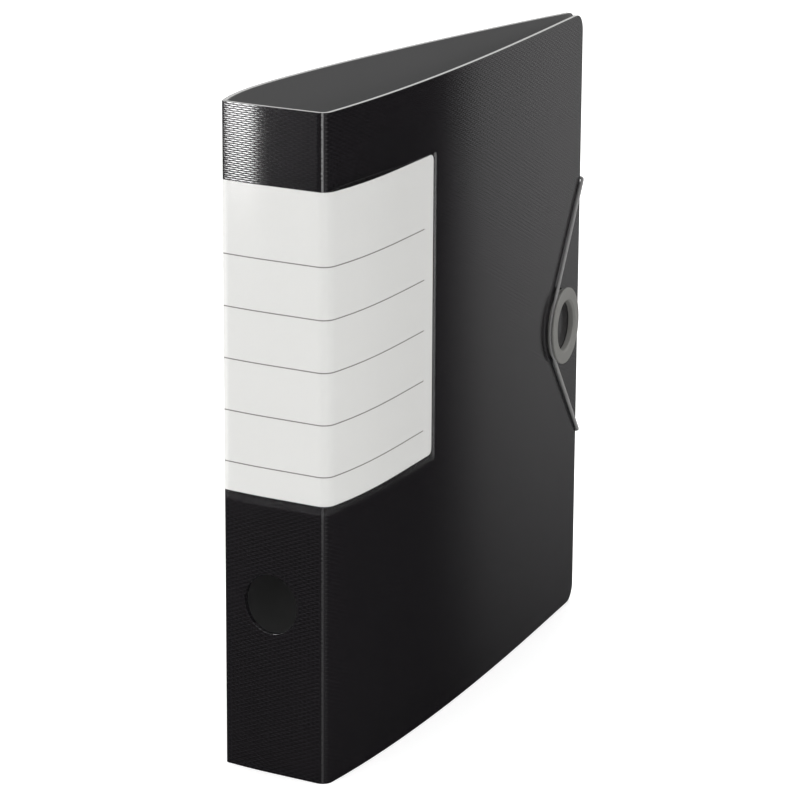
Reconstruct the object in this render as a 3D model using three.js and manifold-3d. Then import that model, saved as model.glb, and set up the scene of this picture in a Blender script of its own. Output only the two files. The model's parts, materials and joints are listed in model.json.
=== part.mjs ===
// A4 lever arch file (a wide ring binder) standing on its bottom edges.
//
// Units are millimetres. While the pieces are made, x runs across the spine (0 is the spine's middle),
// y runs from the spine's outer face (0) to the fore-edge, and z runs up from the bottom edge (0).
// The front cover is on +x and the back cover, which carries the lever arch mechanism, is on -x.
// The finished group is shifted so that its origin is the bottom centre of its bounding box.

import * as THREE from "three";
import { mergeVertices } from "three/addons/utils/BufferGeometryUtils.js";
import Module from "manifold-3d";

const wasm = await Module();
wasm.setup();

// ---------------------------------------------------------------- driving dimensions

const HEIGHT = 318;
const DEPTH = 303;
const SPINE_WIDTH = 58;
const SHEET = 2.4;
const GAP = 0.3;
const CREASE_DEPTH = 0.5;

// Each cover leaves its fold, of outer radius `fold`, leaning outward by `lean` degrees, bulges, and comes
// back in at the fore-edge by `close` degrees. `reachFold` and `reachEdge` are how far each end direction is
// held, `edge` is the outer face's distance from the middle plane at the fore-edge, and `corner` is the
// radius of the two corners there.
const FRONT = { side: 1, fold: 5, lean: 2, reachFold: 102, close: 8, reachEdge: 40, edge: -1.2, corner: 9 };
const BACK = { side: -1, fold: 2.8, lean: 24, reachFold: 50, close: 12.5, reachEdge: 40, edge: 9, corner: 3 };

const FINGER_HOLE = { x: -1.5, z: 83.5, radius: 14.3 };

const LABEL = { start: -27.6, bottom: 135.5, top: 282, depth: 101, thickness: 0.3 };
const POCKET = { start: -27.6, bottom: 131, top: 282.5, depth: 105.5, thickness: 0.3 };

const CLOSURE = {
  y: 274.3, z: 158.5, outer: 20, hole: 13, groove: 17.3, base: 19, top: 3.8, flange: 1.2, studs: 15.2,
};
const STUD = { radius: 1.4, count: 4 };
const BACKING = { inner: 12.5, outer: 18.5, thickness: 1.2 };
const ELASTIC = { radius: 0.85, topZ: 231, bottomZ: 94, eyeletY: 288, eyeletHole: 1.35 };

// The mechanism is laid out from its plate: u is height above the plate's upper face.
const PLATE = { front: 24, rear: 80, length: 144, thickness: 1.2, corner: 8 };
const MID_Z = HEIGHT / 2;
const HOLE_SPACING = 80;
const BOW = { y: 42, u: 5, radius: 1.75, legTop: 32.5, crankReach: 9, crankTop: 8, crankBottom: -10 };
const POST = { y: 65, radius: 3, top: 30, foot: 4.4 };
const LEVER = { y: 53, z: 16, u: 11, width: 10, sheet: 1.4, length: 41, rest: 5, rollerAt: 12 };
const GRIP = { start: 28, length: 14, width: 12, height: 4.2 };
const RIVET = { inset: 10, row: 6, shank: 2, head: 4.5 };
const COMPRESSOR = { u: 5, thickness: 1.2, width: 8.8, length: 104 };

const ARC_STEPS = 20;

// ---------------------------------------------------------------- helpers

const radians = THREE.MathUtils.degToRad;

function solidOf(geometry) {
  const bare = geometry.clone();
  bare.deleteAttribute("normal");
  bare.deleteAttribute("uv");
  const merged = mergeVertices(bare, 1e-4);
  const vertProperties = new Float32Array(merged.attributes.position.array);
  const triVerts = new Uint32Array(merged.index.array);
  return new wasm.Manifold(new wasm.Mesh({ numProp: 3, vertProperties, triVerts }));
}

function geometryOf(solid) {
  const mesh = solid.getMesh();
  const geometry = new THREE.BufferGeometry();
  geometry.setAttribute("position", new THREE.BufferAttribute(mesh.vertProperties, 3));
  geometry.setIndex(new THREE.BufferAttribute(mesh.triVerts, 1));
  geometry.computeVertexNormals();
  return geometry;
}

function join(...geometries) {
  return geometryOf(geometries.map(solidOf).reduce((whole, piece) => whole.add(piece)));
}

function cut(geometry, ...cutters) {
  return geometryOf(cutters.map(solidOf).reduce((whole, piece) => whole.subtract(piece), solidOf(geometry)));
}

function shapeOf(points) {
  return new THREE.Shape(points.map(([x, y]) => new THREE.Vector2(x, y)));
}

function circlePath(x, y, radius, steps = ARC_STEPS) {
  const points = [];
  for (let i = 0; i < steps; i += 1) {
    const angle = (i / steps) * 2 * Math.PI;
    points.push([x + radius * Math.cos(angle), y + radius * Math.sin(angle)]);
  }
  return points;
}

function roundedRectangle(width, height, radius, steps = 5) {
  const points = [];
  const corners = [[1, 1, 0], [-1, 1, 90], [-1, -1, 180], [1, -1, 270]];
  for (const [sx, sy, start] of corners) {
    const cx = sx * (width / 2 - radius);
    const cy = sy * (height / 2 - radius);
    for (let i = 0; i <= steps; i += 1) {
      const angle = radians(start + (90 * i) / steps);
      points.push([cx + radius * Math.cos(angle), cy + radius * Math.sin(angle)]);
    }
  }
  return points;
}

// A prism of the outline, from z = bottom to z = bottom + length.
function prism(outline, length, bottom = 0, holes = []) {
  const shape = shapeOf(outline);
  shape.holes = holes.map(shapeOf);
  const geometry = new THREE.ExtrudeGeometry(shape, { depth: length, bevelEnabled: false });
  return geometry.translate(0, 0, bottom);
}

// A prism whose outline is given in (y, z) and whose length runs along +x from x = start.
function prismAlongX(outline, length, start, holes = []) {
  const geometry = prism(outline, length, 0, holes);
  geometry.applyMatrix4(new THREE.Matrix4().makeBasis(
    new THREE.Vector3(0, 1, 0), new THREE.Vector3(0, 0, 1), new THREE.Vector3(1, 0, 0)));
  return geometry.translate(start, 0, 0);
}

// A prism whose outline is given in (x, z) and whose length runs along +y from y = start.
function prismAlongY(outline, length, start, holes = []) {
  const geometry = prism(outline, length, 0, holes);
  geometry.rotateX(Math.PI / 2);
  return geometry.translate(0, start + length, 0);
}

// A path through given knots, one extrusion step per knot, so bends are fine and straight runs are cheap.
class KnotPath extends THREE.Curve {
  constructor(knots) {
    super();
    this.knots = knots;
  }

  getPoint(t, target = new THREE.Vector3()) {
    const place = t * (this.knots.length - 1);
    const i = Math.min(Math.floor(place), this.knots.length - 2);
    return target.lerpVectors(this.knots[i], this.knots[i + 1], place - i);
  }

  getPointAt(u, target) {
    return this.getPoint(u, target);
  }

  getTangentAt(u, target = new THREE.Vector3()) {
    const last = this.knots.length - 1;
    const i = Math.round(u * last);
    const before = this.knots[Math.max(i - 1, 0)];
    const here = this.knots[i];
    const after = this.knots[Math.min(i + 1, last)];
    const into = here.clone().sub(before).normalize();
    const out = after.clone().sub(here).normalize();
    return target.copy(into).add(out).normalize();
  }
}

function wire(knots, radius, sides = 8) {
  const section = shapeOf(circlePath(0, 0, radius, sides));
  const extrudePath = new KnotPath(knots);
  return new THREE.ExtrudeGeometry(section, { steps: knots.length - 1, extrudePath, bevelEnabled: false });
}

// Knots along straight runs whose corners are rounded with the given radius.
function roundedKnots(points, radius, steps = 4) {
  const knots = [points[0]];
  for (let i = 1; i < points.length - 1; i += 1) {
    const corner = points[i];
    const back = points[i - 1].clone().sub(corner);
    const ahead = points[i + 1].clone().sub(corner);
    const reach = Math.min(radius, back.length() / 2.1, ahead.length() / 2.1);
    const start = corner.clone().add(back.setLength(reach));
    const end = corner.clone().add(ahead.setLength(reach));
    const bend = new THREE.QuadraticBezierCurve3(start, corner, end);
    knots.push(...bend.getPoints(steps));
  }
  knots.push(points[points.length - 1]);
  return knots;
}

function revolve(profile, segments = 24) {
  const closed = profile.map(([radius, height]) => new THREE.Vector2(radius, height));
  const geometry = new THREE.LatheGeometry(closed, segments);
  return geometry.rotateX(Math.PI / 2);
}

// ---------------------------------------------------------------- the wrapped sheet's plan

function foldCentre(cover) {
  return new THREE.Vector2(SPINE_WIDTH / 2 - cover.fold, cover.fold);
}

// The outer face of a cover in plan, with x counted outward from the middle plane on that cover's side.
function coverCurve(cover) {
  const lean = radians(cover.lean);
  const close = radians(cover.close);
  const centre = foldCentre(cover);
  const start = new THREE.Vector2(
    centre.x + cover.fold * Math.cos(lean), centre.y - cover.fold * Math.sin(lean));
  const end = new THREE.Vector2(cover.edge, DEPTH);
  const first = new THREE.Vector2(Math.sin(lean), Math.cos(lean)).multiplyScalar(cover.reachFold).add(start);
  const second = new THREE.Vector2(Math.sin(close), -Math.cos(close));
  second.multiplyScalar(cover.reachEdge).add(end);
  return new THREE.CubicBezierCurve(start, first, second, end);
}

// The place on a cover's outer face at depth y: its point and outward normal, in plan.
function coverPlace(cover, y) {
  const curve = coverCurve(cover);
  let low = 0;
  let high = 1;
  for (let i = 0; i < 40; i += 1) {
    const middle = (low + high) / 2;
    if (curve.getPoint(middle).y < y) low = middle;
    else high = middle;
  }
  const point = curve.getPoint(low);
  const tangent = curve.getTangent(low);
  return {
    t: low,
    point: new THREE.Vector2(cover.side * point.x, point.y),
    normal: new THREE.Vector2(cover.side * tangent.y, -tangent.x),
  };
}

// Points along a cover's outer face between two curve parameters, moved outward by `offset`.
function coverPoints(cover, offset, from = 0, to = 1, steps = 26) {
  const curve = coverCurve(cover);
  const points = [];
  for (let i = 0; i <= steps; i += 1) {
    const t = from + ((to - from) * i) / steps;
    const point = curve.getPoint(t);
    const tangent = curve.getTangent(t);
    points.push([cover.side * (point.x + offset * tangent.y), point.y - offset * tangent.x]);
  }
  return points;
}

// Points round a fold, from the spine's side to the cover's side, moved outward by `offset`.
function foldPoints(cover, offset, crease = 0, steps = 8) {
  const centre = foldCentre(cover);
  const turn = 90 - cover.lean;
  const points = [];
  for (let i = 0; i <= steps; i += 1) {
    const angle = radians(-90 + (turn * i) / steps);
    const radius = cover.fold + offset - (i === steps / 2 ? crease : 0);
    const x = centre.x + radius * Math.cos(angle);
    points.push([cover.side * x, centre.y + radius * Math.sin(angle)]);
  }
  return points;
}

// The hinge line of a fold runs along the middle of the crease, at half the sheet's thickness.
function foldAxis(cover) {
  const centre = foldCentre(cover);
  const angle = radians(-90 + (90 - cover.lean) / 2);
  const radius = cover.fold - SHEET / 2;
  const x = cover.side * (centre.x + radius * Math.cos(angle));
  return new THREE.Vector3(x, centre.y + radius * Math.sin(angle), 0);
}

function band(outer, inner) {
  return [...outer, ...inner.slice().reverse()];
}

// A cutter that rounds a cover's top or bottom fore-edge corner.
function cornerCutter(radius, z, direction) {
  const outline = [[DEPTH + 2, z + 2 * direction]];
  for (let i = 0; i <= 8; i += 1) {
    const angle = radians((90 * i) / 8);
    const y = DEPTH - radius + radius * Math.sin(angle);
    outline.push([y, z - direction * (radius - radius * Math.cos(angle))]);
  }
  outline.splice(1, 0, [DEPTH - radius, z + 2 * direction]);
  outline.push([DEPTH + 2, z - direction * radius]);
  return prismAlongX(outline, 60, -30);
}

// A round cutter through a cover, along the cover's normal at (y, z).
function coverDrill(cover, y, z, radius) {
  const drill = new THREE.CylinderGeometry(radius, radius, 12, 24).rotateX(Math.PI / 2);
  drill.applyMatrix4(coverFrame(cover, y, z));
  return drill;
}

// The frame on a cover's outer face whose +z points outward along its normal.
function coverFrame(cover, y, z) {
  const { point, normal } = coverPlace(cover, y);
  const out = new THREE.Vector3(normal.x, normal.y, 0);
  const up = new THREE.Vector3(0, 0, 1);
  const across = new THREE.Vector3().crossVectors(up, out);
  return new THREE.Matrix4().makeBasis(across, up, out).setPosition(point.x, point.y, z);
}

// ---------------------------------------------------------------- the three panels and their folds

function spinePanel() {
  const left = -foldCentre(BACK).x + GAP;
  const right = foldCentre(FRONT).x - GAP;
  const panel = prism([[left, 0], [right, 0], [right, SHEET], [left, SHEET]], HEIGHT);
  const hole = prismAlongY(circlePath(FINGER_HOLE.x, FINGER_HOLE.z, FINGER_HOLE.radius, 40), 6, -2);
  return cut(panel, hole);
}

function coverPanel(cover, cutters) {
  const start = coverPlace(cover, coverCurve(cover).getPoint(0).y + GAP).t;
  const outline = band(coverPoints(cover, 0, start), coverPoints(cover, -SHEET, start));
  const corners = [cornerCutter(cover.corner, HEIGHT, 1), cornerCutter(cover.corner, 0, -1)];
  return cut(prism(outline, HEIGHT), ...corners, ...cutters);
}

function frontCover() {
  return coverPanel(FRONT, closureStuds(STUD.radius + GAP, -SHEET - 2, 2));
}

function backCover() {
  const rivetHoles = rivetPlaces().map(({ y, z }) => rivetDrill(y, z));
  const eyelets = [ELASTIC.topZ, ELASTIC.bottomZ].map((z) => coverDrill(BACK, ELASTIC.eyeletY, z, 2.7));
  return coverPanel(BACK, [...rivetHoles, ...eyelets]);
}

function foldStrip(cover) {
  return prism(band(foldPoints(cover, 0, CREASE_DEPTH), foldPoints(cover, -SHEET)), HEIGHT);
}

// ---------------------------------------------------------------- label and its clear pocket

// A thin layer that lies on the spine, goes round the front fold and ends on the front cover.
function wrappedLayer({ start, bottom, top, depth, thickness }, offset) {
  const end = coverPlace(FRONT, depth).t;
  const face = (away) => [
    [start, -away],
    ...foldPoints(FRONT, away),
    ...coverPoints(FRONT, away, 0, end, 8).slice(1),
  ];
  return prism(band(face(offset + thickness), face(offset)), top - bottom, bottom);
}

// ---------------------------------------------------------------- elastic closure

// The four round studs that pass from the closure ring through the front cover, between two heights.
function closureStuds(radius, low, high) {
  const studs = [];
  for (let i = 0; i < STUD.count; i += 1) {
    const angle = (Math.PI / 2) * i + Math.PI / 4;
    const stud = new THREE.CylinderGeometry(radius, radius, high - low, 12).rotateX(Math.PI / 2);
    stud.translate(CLOSURE.studs * Math.cos(angle), CLOSURE.studs * Math.sin(angle), (high + low) / 2);
    studs.push(stud.applyMatrix4(coverFrame(FRONT, CLOSURE.y, CLOSURE.z)));
  }
  return studs;
}

// A low grooved ring: the elastic lies in the groove, under the flange.
function closureRing() {
  const { outer, hole, groove, base, top, flange } = CLOSURE;
  const profile = [
    [hole, GAP], [base, GAP], [base, 0.5], [groove, 0.5], [groove, top - flange], [outer, top - flange],
    [outer, top - 0.5], [outer - 0.5, top], [hole + 0.5, top], [hole, top - 0.5], [hole, GAP],
  ];
  const ring = revolve(profile, 40).applyMatrix4(coverFrame(FRONT, CLOSURE.y, CLOSURE.z));
  return join(ring, ...closureStuds(STUD.radius, -SHEET - GAP - BACKING.thickness, 1));
}

function closureBackingRing() {
  const top = -SHEET - GAP;
  const { inner, outer, thickness } = BACKING;
  const profile = [[inner, top - thickness], [outer, top - thickness], [outer, top], [inner, top],
    [inner, top - thickness]];
  const ring = revolve(profile, 40).applyMatrix4(coverFrame(FRONT, CLOSURE.y, CLOSURE.z));
  return cut(ring, ...closureStuds(STUD.radius + GAP, top - 3, top + 3));
}

function eyelet(z) {
  const inside = -SHEET - GAP;
  const bore = ELASTIC.eyeletHole;
  const profile = [
    [bore, inside - 0.5], [4, inside - 0.5], [4, inside], [2.4, inside], [2.4, GAP],
    [4, GAP], [3.6, 0.9], [bore + 0.3, 0.9], [bore, 0.6], [bore, inside - 0.5],
  ];
  return revolve(profile, 20).applyMatrix4(coverFrame(BACK, ELASTIC.eyeletY, z));
}

// The small bead crimped on the elastic's end inside the back cover.
function elasticStop(z) {
  const top = -SHEET - GAP - 0.5 - GAP;
  const profile = [[0, top - 3.2], [1.8, top - 3.2], [2.4, top - 2.4], [2.4, top], [0, top]];
  return revolve(profile, 16).applyMatrix4(coverFrame(BACK, ELASTIC.eyeletY, z));
}

function onCover(cover, y, z, height) {
  const { point, normal } = coverPlace(cover, Math.min(y, DEPTH));
  return new THREE.Vector3(point.x + normal.x * height, y + normal.y * height, z);
}

// The elastic goes from an eyelet round the fore-edge, half round the closure ring's groove, and back.
function elasticCord() {
  const clear = ELASTIC.radius + GAP;
  const loop = CLOSURE.groove + clear;
  const height = (0.5 + CLOSURE.top - CLOSURE.flange) / 2;
  const halfTurn = (z) => {
    const reach = new THREE.Vector2(DEPTH - CLOSURE.y, z - CLOSURE.z);
    return { middle: reach.angle(), spread: Math.acos(loop / reach.length()) };
  };
  const anchorRun = (z) => [
    onCover(BACK, ELASTIC.eyeletY, z, -SHEET - 0.4),
    onCover(BACK, ELASTIC.eyeletY, z, clear + 1.25),
    onCover(BACK, DEPTH + clear, z, clear + 0.1),
    onCover(FRONT, DEPTH + clear, z, clear + 0.1),
  ];
  const top = halfTurn(ELASTIC.topZ);
  const bottom = halfTurn(ELASTIC.bottomZ);
  const startAngle = top.middle + top.spread;
  const endAngle = bottom.middle - bottom.spread;
  const ringTurn = [];
  for (let i = 0; i <= 10; i += 1) {
    const angle = startAngle + ((endAngle - startAngle) * i) / 10;
    const y = CLOSURE.y + loop * Math.cos(angle);
    ringTurn.push(onCover(FRONT, y, CLOSURE.z + loop * Math.sin(angle), height));
  }
  const knots = [
    ...roundedKnots([...anchorRun(ELASTIC.topZ), ringTurn[0]], 1.4).slice(0, -1),
    ...ringTurn,
    ...roundedKnots([...anchorRun(ELASTIC.bottomZ), ringTurn.at(-1)], 1.4).slice(0, -1).reverse(),
  ];
  return wire(knots, ELASTIC.radius);
}

// ---------------------------------------------------------------- lever arch mechanism

// The plate's front edge rests on the back cover's inner face, which bulges away behind its middle.
const PLATE_X = coverPlace(BACK, PLATE.front).point.x + SHEET + 2 * GAP;
const PLATE_TOP = PLATE_X + PLATE.thickness;

// A point of the mechanism: height u above the plate, depth y, and z above the mechanism's middle.
function mech(u, y, z) {
  return new THREE.Vector3(PLATE_TOP + u, y, MID_Z + z);
}

function rivetPlaces() {
  const places = [];
  for (const y of [PLATE.front + RIVET.row, PLATE.rear - RIVET.row]) {
    for (const z of [-1, 1]) {
      places.push({ y, z: MID_Z + z * (PLATE.length / 2 - RIVET.inset) });
    }
  }
  return places;
}

function rivetDrill(y, z) {
  const drill = new THREE.CylinderGeometry(RIVET.shank + GAP, RIVET.shank + GAP, 16, 16);
  return drill.rotateZ(Math.PI / 2).translate(PLATE_X, y, z);
}

function basePlate() {
  const width = PLATE.rear - PLATE.front;
  const outline = roundedRectangle(width, PLATE.length, PLATE.corner)
    .map(([y, z]) => [y + PLATE.front + width / 2, z + MID_Z]);
  const plate = prismAlongX(outline, PLATE.thickness, PLATE_X);
  return cut(plate, ...rivetPlaces().map(({ y, z }) => rivetDrill(y, z)));
}

// A domed head outside the back cover, a shank through cover and plate, and a flat head on the plate.
function rivet(y, z) {
  const outside = GAP - Math.min(...[-1, 1].map((side) => coverPlace(BACK, y + side * RIVET.head).point.x));
  const inside = -(PLATE_TOP + GAP);
  const profile = [
    [0, inside - 1], [3.4, inside - 1], [3.8, inside - 0.6], [3.8, inside], [RIVET.shank, inside],
    [RIVET.shank, outside], [RIVET.head, outside], [RIVET.head - 0.4, outside + 0.7],
    [RIVET.head - 1.8, outside + 1.2], [0, outside + 1.4],
  ];
  return revolve(profile, 20).rotateY(-Math.PI / 2).translate(0, y, z);
}

// One bent wire: two arches, the axle between them, and a crank that the lever's roller holds down.
function bowWire() {
  const half = HOLE_SPACING / 2;
  const arch = (z) => {
    const radius = (POST.y - BOW.y) / 2;
    const points = [mech(POST.top + 0.5, POST.y, z)];
    for (let i = 0; i <= 12; i += 1) {
      const angle = (Math.PI * i) / 12;
      const y = BOW.y + radius + radius * Math.cos(angle);
      points.push(mech(BOW.legTop + radius * Math.sin(angle), y, z));
    }
    return points;
  };
  const crank = (z) => mech(BOW.u + 1, BOW.y + BOW.crankReach, z);
  const axle = (z) => mech(BOW.u, BOW.y, z);
  const bottom = [
    axle(half), axle(BOW.crankTop), crank(BOW.crankTop),
    crank(BOW.crankBottom), axle(BOW.crankBottom), axle(-half),
  ];
  const upper = arch(half);
  const lower = arch(-half).reverse();
  const bent = roundedKnots([upper.at(-1), ...bottom, lower[0]], 4, 4);
  return wire([...upper, ...bent.slice(1, -1), ...lower], BOW.radius);
}

function bowBearing(z) {
  const hole = circlePath(PLATE_TOP + BOW.u, BOW.y, BOW.radius + GAP);
  const outline = [[PLATE_TOP + GAP, BOW.y - 7], [PLATE_TOP + GAP, BOW.y + 7], [PLATE_TOP + 1.5, BOW.y + 7]];
  for (let i = 0; i <= 10; i += 1) {
    const angle = (Math.PI * i) / 10;
    outline.push([PLATE_TOP + BOW.u + 3.6 * Math.sin(angle), BOW.y + 3.6 * Math.cos(angle)]);
  }
  outline.push([PLATE_TOP + 1.5, BOW.y - 7]);
  return prism(outline, 8, MID_Z + z - 4, [hole]);
}

// A coil round the axle with one leg on the plate and one against the crank.
function bowSpring() {
  const turns = 5;
  const coil = BOW.radius + GAP + 0.7;
  const knots = [mech(0.9, BOW.y - 9, -26)];
  for (let i = 0; i <= turns * 12; i += 1) {
    const angle = Math.PI + (i / 12) * 2 * Math.PI;
    const z = -26 + (12 * i) / (turns * 12);
    knots.push(mech(BOW.u + coil * Math.cos(angle), BOW.y + coil * Math.sin(angle), z));
  }
  return wire(knots, 0.55, 6);
}

function post(z) {
  const profile = [
    [0, GAP], [POST.foot, GAP], [POST.foot, 1.4], [POST.radius + 0.4, 2], [POST.radius, 2.6],
    [POST.radius, POST.top - 1], [POST.radius - 0.8, POST.top], [0, POST.top],
  ];
  return revolve(profile, 20).rotateY(Math.PI / 2).translate(PLATE_TOP, POST.y, MID_Z + z);
}

function leverBracket() {
  const inner = LEVER.width / 2 + GAP;
  const sheet = 1.1;
  const cheek = [[GAP, -7], [LEVER.u, -5], [LEVER.u + 3, -3.5], [LEVER.u + 4.2, 0]];
  cheek.push([LEVER.u + 3, 3.5], [LEVER.u, 5], [GAP, 7]);
  const outline = cheek.map(([u, z]) => [u + PLATE_TOP, z + MID_Z + LEVER.z]);
  const hole = circlePath(PLATE_TOP + LEVER.u, MID_Z + LEVER.z, 2 + GAP);
  const near = prismAlongY(outline, sheet, LEVER.y - inner - sheet, [hole]);
  const far = prismAlongY(outline, sheet, LEVER.y + inner, [hole]);
  const floor = new THREE.BoxGeometry(1.2, 2 * (inner + sheet), 14)
    .translate(PLATE_TOP + GAP + 0.6, LEVER.y, MID_Z + LEVER.z);
  return join(near, floor, far);
}

// The lever's own frame: s runs from its pivot to its tip, t is above it, and the third axis goes across it.
function leverFrame() {
  const rest = radians(LEVER.rest);
  const along = new THREE.Vector3(Math.sin(rest), 0, -Math.cos(rest));
  const above = new THREE.Vector3(Math.cos(rest), 0, Math.sin(rest));
  const across = new THREE.Vector3().crossVectors(along, above);
  return new THREE.Matrix4().makeBasis(along, above, across).setPosition(mech(LEVER.u, LEVER.y, LEVER.z));
}

function placeOnLever(geometry) {
  return geometry.applyMatrix4(leverFrame());
}

function leverPoint(s, t) {
  return new THREE.Vector3(s, t, 0).applyMatrix4(leverFrame());
}

function acrossLever(outline, width, centre = 0, holes = []) {
  return prism(outline, width, centre - width / 2, holes);
}

const LEVER_WEB = { low: 4.6, high: 6 };

function lever() {
  const { sheet, width, length, rollerAt } = LEVER;
  const web = [[-2, LEVER_WEB.low], [length, LEVER_WEB.low], [length, LEVER_WEB.high], [-2, LEVER_WEB.high]];
  const side = [
    [-2, LEVER_WEB.high], [-4.5, 1.5], [-4, -2.2], [-1.5, -4.3], [2, -4.2], [5, -2.6],
    [rollerAt + 3, -2.6], [GRIP.start - 1, LEVER_WEB.low + 0.2], [GRIP.start - 1, LEVER_WEB.high],
  ];
  const holes = [circlePath(0, 0, 2 + GAP, 16), circlePath(rollerAt, 0, 1.2 + GAP, 12)];
  const sideCentre = (width - sheet) / 2;
  const body = join(
    acrossLever(web, width),
    acrossLever(side, sheet, sideCentre, holes),
    acrossLever(side, sheet, -sideCentre, holes),
  );
  return placeOnLever(body);
}

function leverGrip() {
  const { start, length, width, height } = GRIP;
  const middle = (LEVER_WEB.low + LEVER_WEB.high) / 2;
  const body = roundedRectangle(length, width, 3).map(([s, y]) => [s + start + length / 2, y]);
  const block = prism(body, height, -height / 2).rotateX(-Math.PI / 2).translate(0, middle, 0);
  const slotLength = 2 * (LEVER.length + GAP - start);
  const slotHeight = LEVER_WEB.high - LEVER_WEB.low + 2 * GAP;
  const slot = new THREE.BoxGeometry(slotLength, slotHeight, LEVER.width + 2 * GAP);
  slot.translate(start, middle, 0);
  return placeOnLever(cut(block, slot));
}

function leverPin() {
  const half = LEVER.width / 2 + GAP + 1.1;
  const profile = [
    [0, -half - 0.8], [3, -half - 0.8], [3, -half - 0.2], [2, -half - 0.2],
    [2, half + 0.2], [3, half + 0.2], [3, half + 0.8], [0, half + 0.8],
  ];
  return placeOnLever(revolve(profile, 16));
}

function rollerPin() {
  const half = LEVER.width / 2;
  const profile = [[0, -half], [1.2, -half], [1.2, half], [0, half]];
  return placeOnLever(revolve(profile, 12).translate(LEVER.rollerAt, 0, 0));
}

function roller() {
  const half = (LEVER.width - 2 * LEVER.sheet) / 2 - GAP;
  const profile = [[1.5, -half], [3.6, -half], [4, -half + 0.5], [4, half - 0.5]];
  profile.push([3.6, half], [1.5, half], [1.5, -half]);
  return placeOnLever(revolve(profile, 20).translate(LEVER.rollerAt, 0, 0));
}

// The strip that holds the paper down: it slides on the two posts.
function compressorBar() {
  const outline = roundedRectangle(COMPRESSOR.width, COMPRESSOR.length, 4)
    .map(([y, z]) => [y + POST.y, z + MID_Z]);
  const start = PLATE_TOP + COMPRESSOR.u;
  const holeAt = (side) => circlePath(POST.y, MID_Z + (side * HOLE_SPACING) / 2, POST.radius + GAP, 24);
  const holes = [holeAt(-1), holeAt(1)];
  return prismAlongX(outline, COMPRESSOR.thickness, start, holes);
}

// The plastic catch clipped over the compressor bar's middle.
function compressorCatch() {
  const outline = roundedRectangle(COMPRESSOR.width, 22, 2).map(([y, z]) => [y + POST.y, z + MID_Z]);
  const start = PLATE_TOP + COMPRESSOR.u + COMPRESSOR.thickness + GAP;
  return prismAlongX(outline, 2.4, start);
}

// ---------------------------------------------------------------- materials and the finished object

function finish(color, roughness, metalness = 0) {
  return new THREE.MeshStandardMaterial({ color, roughness, metalness });
}

const blackSheet = finish(0x232224, 0.42);
const greyPlastic = finish(0x8f8e89, 0.45);
const blackPlastic = finish(0x1c1c1d, 0.4);
const greyElastic = finish(0x8a8888, 0.85);
const paperCard = finish(0xe2e2df, 0.85);
const clearFilm = finish(0xdfe3e6, 0.12);
const zincSteel = finish(0xb9bcc0, 0.32, 1);
const nickelWire = finish(0xd2d3d4, 0.16, 1);

const binder = new THREE.Group();

function addPiece(name, geometry, material) {
  const mesh = new THREE.Mesh(geometry, material);
  mesh.name = name;
  binder.add(mesh);
}

addPiece("back_cover", backCover(), blackSheet);
addPiece("spine_panel", spinePanel(), blackSheet);
addPiece("front_cover", frontCover(), blackSheet);
addPiece("back_fold", foldStrip(BACK), blackSheet);
addPiece("front_fold", foldStrip(FRONT), blackSheet);

addPiece("label_card", wrappedLayer(LABEL, GAP), paperCard);
addPiece("label_pocket", wrappedLayer(POCKET, 2 * GAP + LABEL.thickness), clearFilm);

addPiece("closure_ring", closureRing(), greyPlastic);
addPiece("closure_backing_ring", closureBackingRing(), greyPlastic);
addPiece("elastic_cord", elasticCord(), greyElastic);
for (const [place, z] of [["upper", ELASTIC.topZ], ["lower", ELASTIC.bottomZ]]) {
  addPiece(`elastic_eyelet_${place}`, eyelet(z), nickelWire);
  addPiece(`elastic_stop_${place}`, elasticStop(z), blackPlastic);
}

addPiece("base_plate", basePlate(), zincSteel);
rivetPlaces().forEach(({ y, z }, i) => addPiece(`rivet_${i + 1}`, rivet(y, z), nickelWire));
addPiece("arch_bow", bowWire(), nickelWire);
addPiece("bow_spring", bowSpring(), zincSteel);
for (const [place, side] of [["upper", 1], ["lower", -1]]) {
  addPiece(`bow_bearing_${place}`, bowBearing(side * 31), zincSteel);
  addPiece(`post_${place}`, post((side * HOLE_SPACING) / 2), nickelWire);
}

addPiece("lever_bracket", leverBracket(), zincSteel);
addPiece("lever_pin", leverPin(), nickelWire);
addPiece("lever", lever(), nickelWire);
addPiece("lever_grip", leverGrip(), blackPlastic);
addPiece("lever_roller", roller(), blackPlastic);
addPiece("roller_pin", rollerPin(), nickelWire);

addPiece("compressor_bar", compressorBar(), zincSteel);
addPiece("compressor_catch", compressorCatch(), blackPlastic);

// Origin at the bottom centre of the whole object.
const extent = new THREE.Box3().setFromObject(binder);
const middle = extent.getCenter(new THREE.Vector3());
binder.position.set(-middle.x, -middle.y, -extent.min.z);

// A point on each joint's axis, in the finished frame, for whoever moves the pieces.
binder.userData.axes = {
  backFold: foldAxis(BACK).add(binder.position),
  frontFold: foldAxis(FRONT).add(binder.position),
  bowAxle: mech(BOW.u, BOW.y, 0).add(binder.position),
  leverPin: mech(LEVER.u, LEVER.y, LEVER.z).add(binder.position),
  rollerPin: leverPoint(LEVER.rollerAt, 0).add(binder.position),
};

export default binder;
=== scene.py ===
import json
import math
from bisect import bisect_right

import bmesh
import bpy
from mathutils import Matrix, Vector, geometry


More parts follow.
